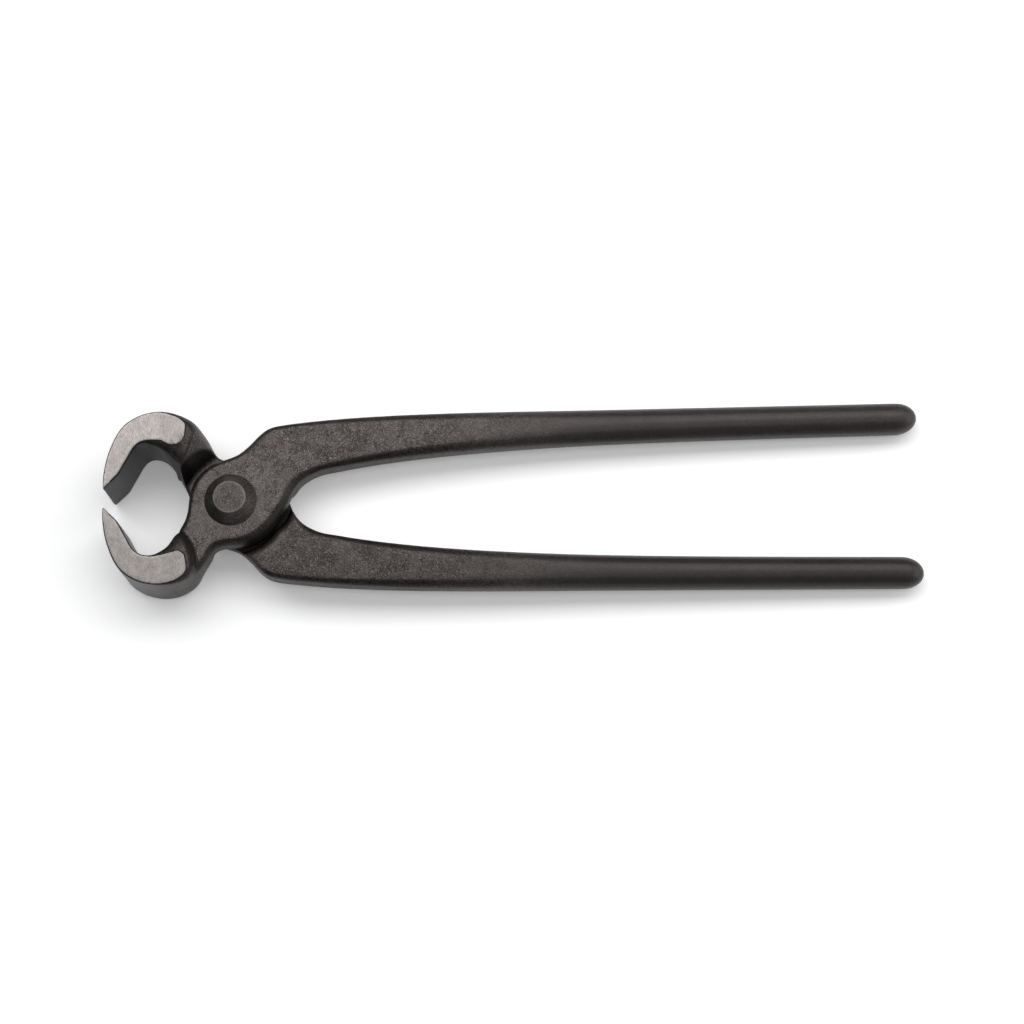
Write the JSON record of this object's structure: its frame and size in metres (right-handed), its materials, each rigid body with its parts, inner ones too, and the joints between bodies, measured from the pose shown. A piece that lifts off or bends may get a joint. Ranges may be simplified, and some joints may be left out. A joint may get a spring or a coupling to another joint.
{
  "type": "carpenters pincers",
  "caption": "Forged pincers with broad ground jaws that close on a cutting edge, a half-lapped riveted joint and long round handles.",
  "frame": {"origin": "centre of the tool's box as it stands a little open, on the plane where the two levers lap", "axes": "+X from the jaws to the handle ends, +Y to the handle of the lever that is uppermost at the rivet, +Z along the rivet"},
  "size_m": [0.2494, 0.0584, 0.024],
  "materials": {
    "front_lever_steel": "forged skin with black oxide, jaw sides ground bright",
    "rear_lever_steel": "forged skin with black oxide, jaw sides ground bright",
    "rivet_steel": "upset heads with black oxide"
  },
  "bodies": {
    "front": {"front_lever": "front_lever_steel", "rivet": "rivet_steel"},
    "rear": {"rear_lever": "rear_lever_steel"}
  },
  "joints": [
    {"name": "rivet_hinge", "type": "hinge", "parent": "front", "child": "rear", "pos_m": [-0.08645, 0, 0], "axis": [0, 0, -1], "range_deg": [-8.6, 26]}
  ]
}
